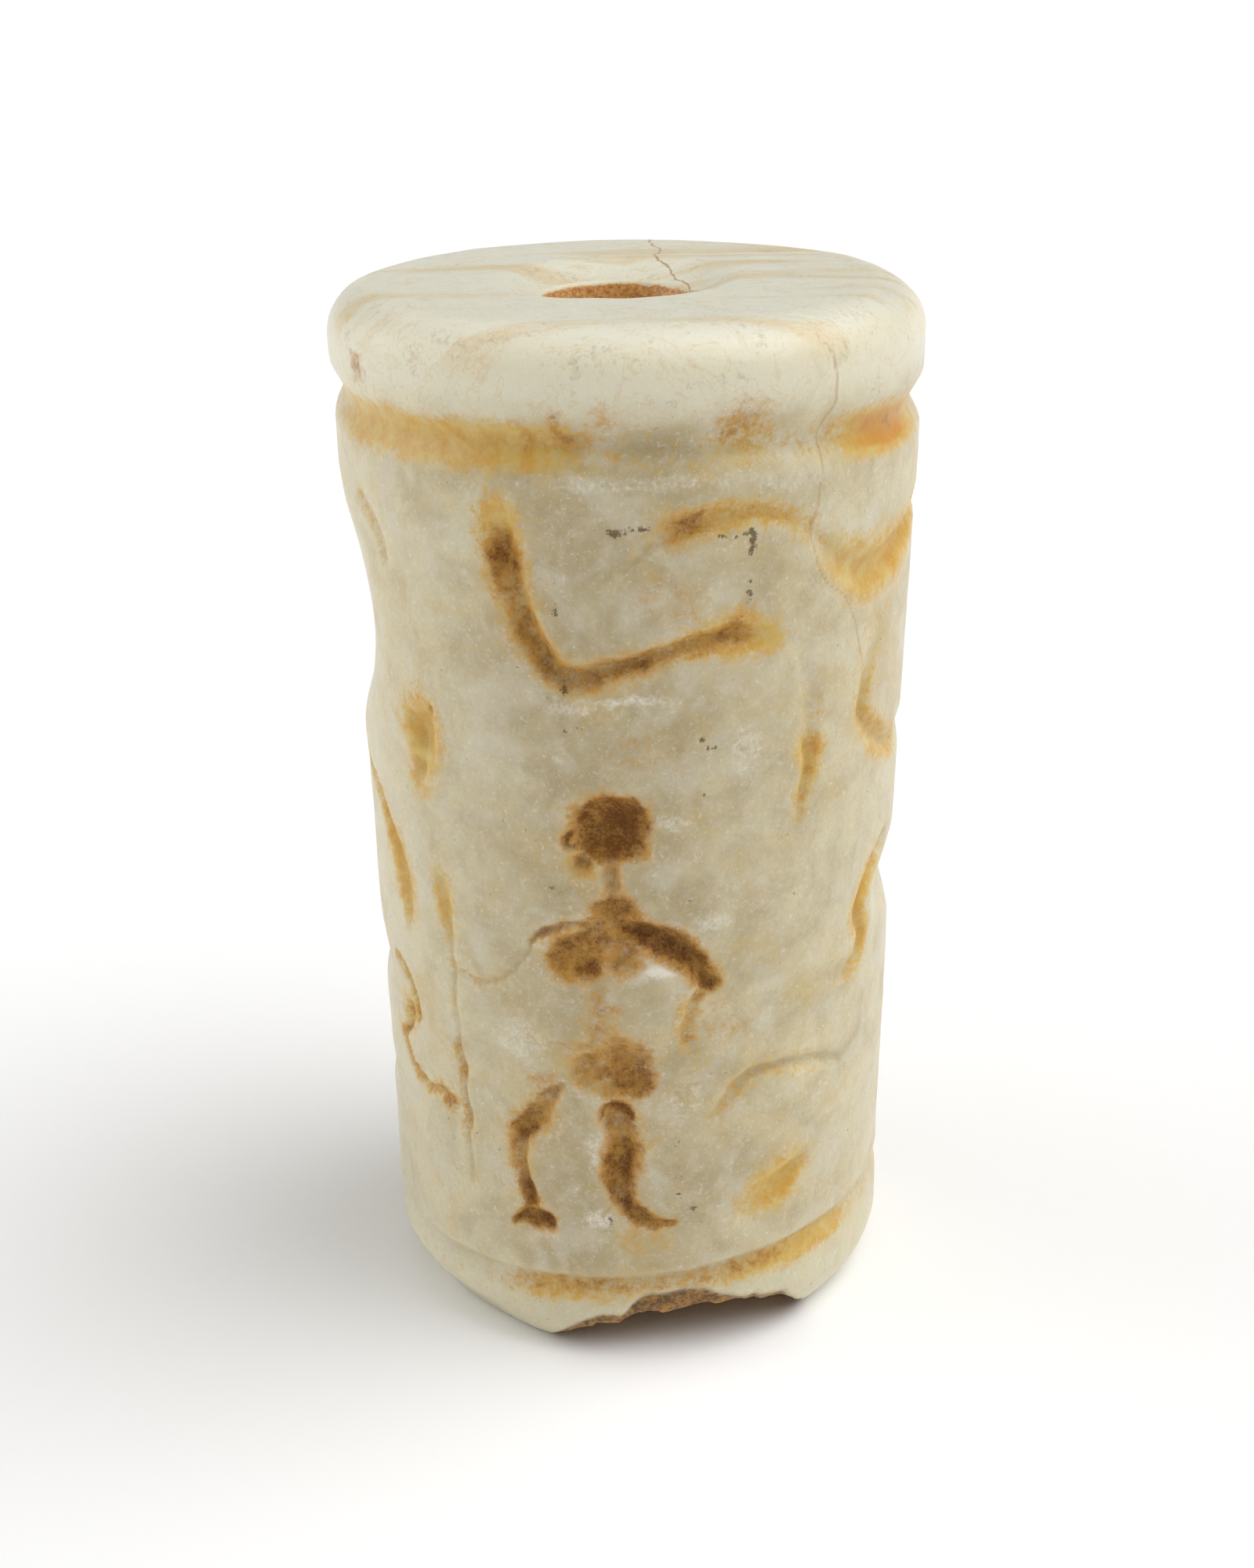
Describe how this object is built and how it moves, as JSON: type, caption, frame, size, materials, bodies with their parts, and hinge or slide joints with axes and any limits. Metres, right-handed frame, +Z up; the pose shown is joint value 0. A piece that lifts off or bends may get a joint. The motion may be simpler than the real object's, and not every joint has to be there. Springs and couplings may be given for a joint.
{
  "type": "cylinder seal",
  "caption": "Carved marble cylinder seal: a slightly tapered drum with rounded rims, a bore along its axis and a frieze cut into its wall.",
  "frame": {"origin": "centre of the underside, on the drum's axis", "axes": "+Z up along the drum's axis; the engraved man faces -Y"},
  "size_m": [0.0248, 0.0248, 0.0454],
  "materials": {
    "marble": "worn, waxy pale marble with ochre and brown stains in the carving"
  },
  "bodies": {
    "root": {"seal": "marble"}
  },
  "joints": []
}
